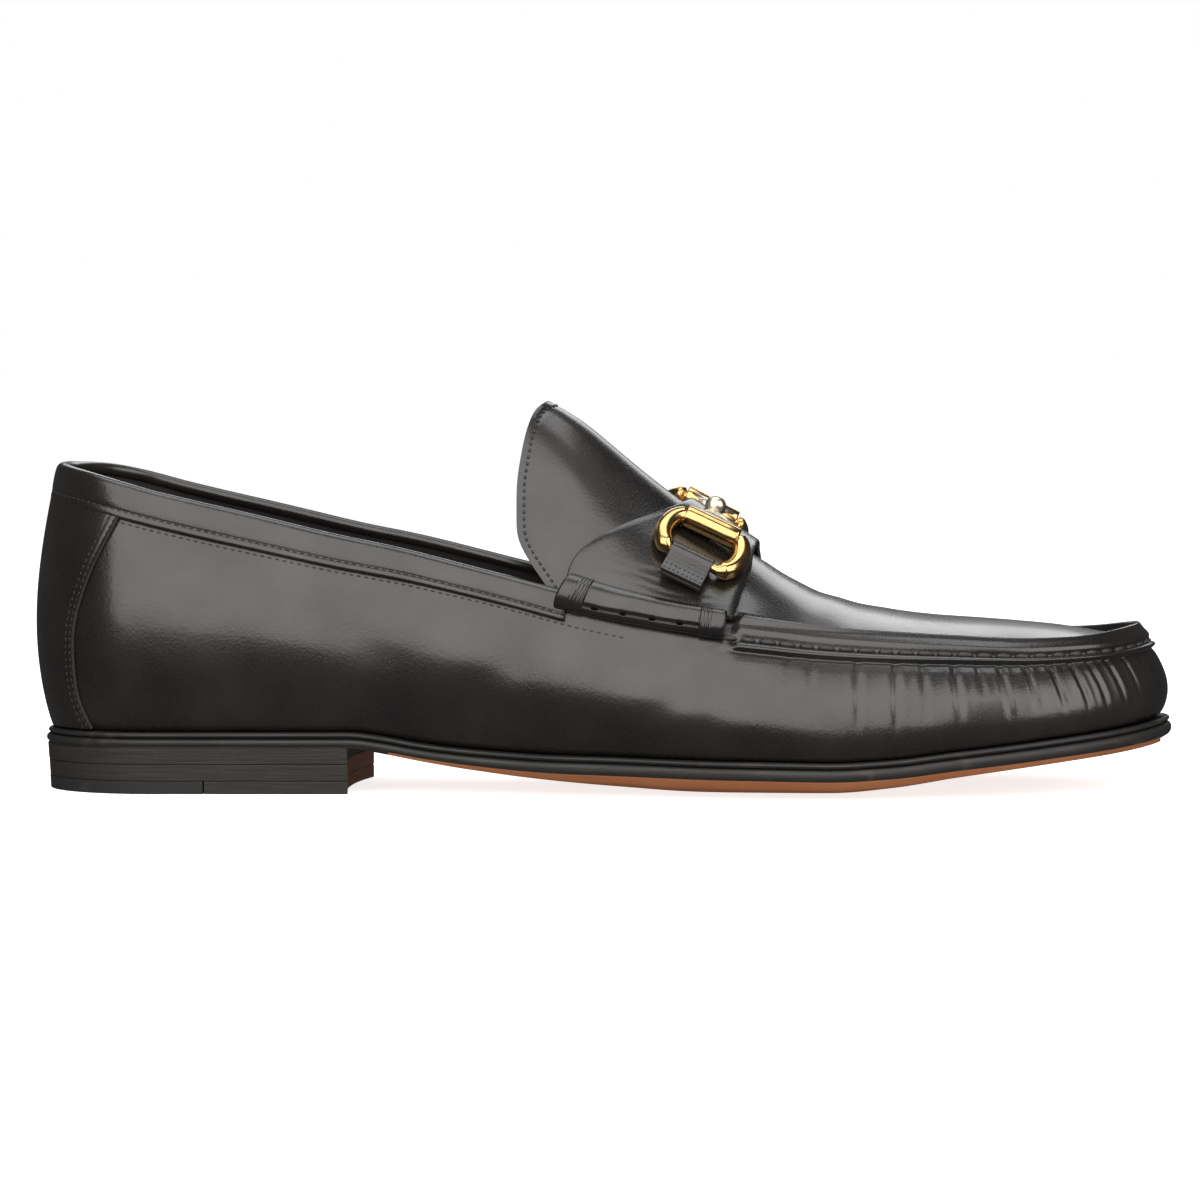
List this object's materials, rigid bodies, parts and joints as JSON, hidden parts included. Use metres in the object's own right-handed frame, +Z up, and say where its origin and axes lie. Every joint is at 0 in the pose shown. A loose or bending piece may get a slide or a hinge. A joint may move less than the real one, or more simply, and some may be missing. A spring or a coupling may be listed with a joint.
{
  "type": "bit loafer",
  "caption": "Right-foot leather slip-on shoe with a raised apron seam, a saddle strap and a metal bit over the instep, on a leather sole with a low stacked heel.",
  "frame": {"origin": "on the floor under the middle of the heel block", "axes": "+X to the toe, +Y to the inner side of the foot, +Z up"},
  "size_m": [0.3025, 0.1037, 0.1022],
  "materials": {
    "black_calf": "polished smooth calf",
    "black_edge": "waxed black edge",
    "sole_leather": "tan sole leather, edge inked black",
    "heel_rubber": "matte",
    "lining": "matte lining leather",
    "gold_metal": "polished gold plate"
  },
  "bodies": {
    "root": {"outsole": "sole_leather", "midsole": "black_edge", "heel_lift_upper": "black_edge", "heel_lift_lower": "black_edge", "heel_top_leather": "black_edge", "heel_top_rubber": "heel_rubber", "insole": "lining", "upper": "black_calf", "tongue": "black_calf", "collar_band": "black_calf", "heel_counter": "black_calf", "saddle_strap": "black_calf", "side_roll_lateral": "black_calf", "side_roll_medial": "black_calf", "keeper_lateral": "black_calf", "keeper_medial": "black_calf", "bit_ring_lateral": "gold_metal", "bit_ring_medial": "gold_metal", "bit_bar": "gold_metal"}
  },
  "joints": []
}
